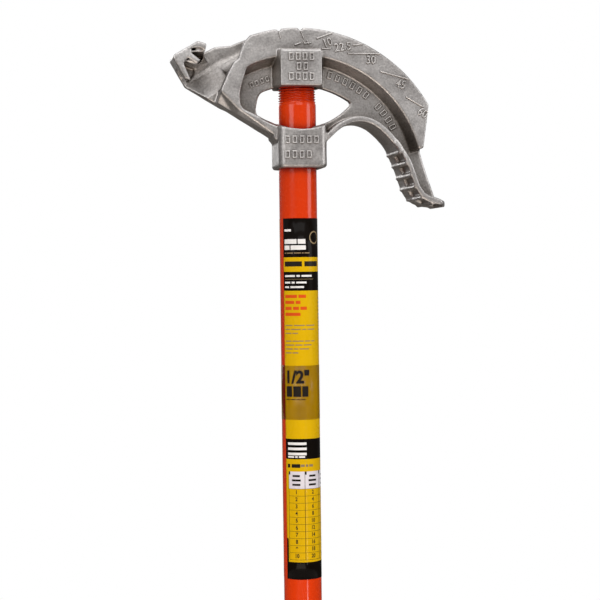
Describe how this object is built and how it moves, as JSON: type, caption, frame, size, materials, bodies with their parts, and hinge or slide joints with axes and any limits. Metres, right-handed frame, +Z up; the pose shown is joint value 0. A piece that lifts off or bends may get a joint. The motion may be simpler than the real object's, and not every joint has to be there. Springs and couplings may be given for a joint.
{
  "type": "conduit bender",
  "caption": "Hand conduit bender: cast shoe with a curved channel, hook, foot pedal and sighting window, on a long pipe handle with a wrapped label.",
  "frame": {"origin": "on the handle's axis, at the flat underside of the end cap", "axes": "+Z up the handle to the bender head, +X from the handle towards the foot pedal, -Y the side with the degree marks, where the hook is open"},
  "size_m": [0.191, 0.046, 0.9881],
  "materials": {
    "cast_aluminium": "cast, satin",
    "orange_coat": "glossy powder coat",
    "label_film": "glossy printed film",
    "sticker_film": "glossy printed film",
    "black_vinyl": "soft matte"
  },
  "bodies": {
    "bender_head": {"head_casting": "cast_aluminium"},
    "handle_foot": {"handle_end_cap": "black_vinyl"},
    "handle": {"handle_pipe": "orange_coat", "wrap_label": "label_film", "size_sticker": "sticker_film"}
  },
  "joints": [
    {"name": "head_lift", "type": "slide", "parent": "handle_foot", "child": "bender_head", "axis": [0, 0, 1], "range_m": [0, 0.0192]},
    {"name": "handle_turn", "type": "hinge", "parent": "handle_foot", "child": "handle", "pos_m": [0, 0, 0.88], "axis": [0, 0, 1], "range_deg": [-3780, 0]}
  ],
  "couplings": [
    {"joint": "head_lift", "follows": "handle_turn", "m_per_rad": -0.00028875}
  ]
}
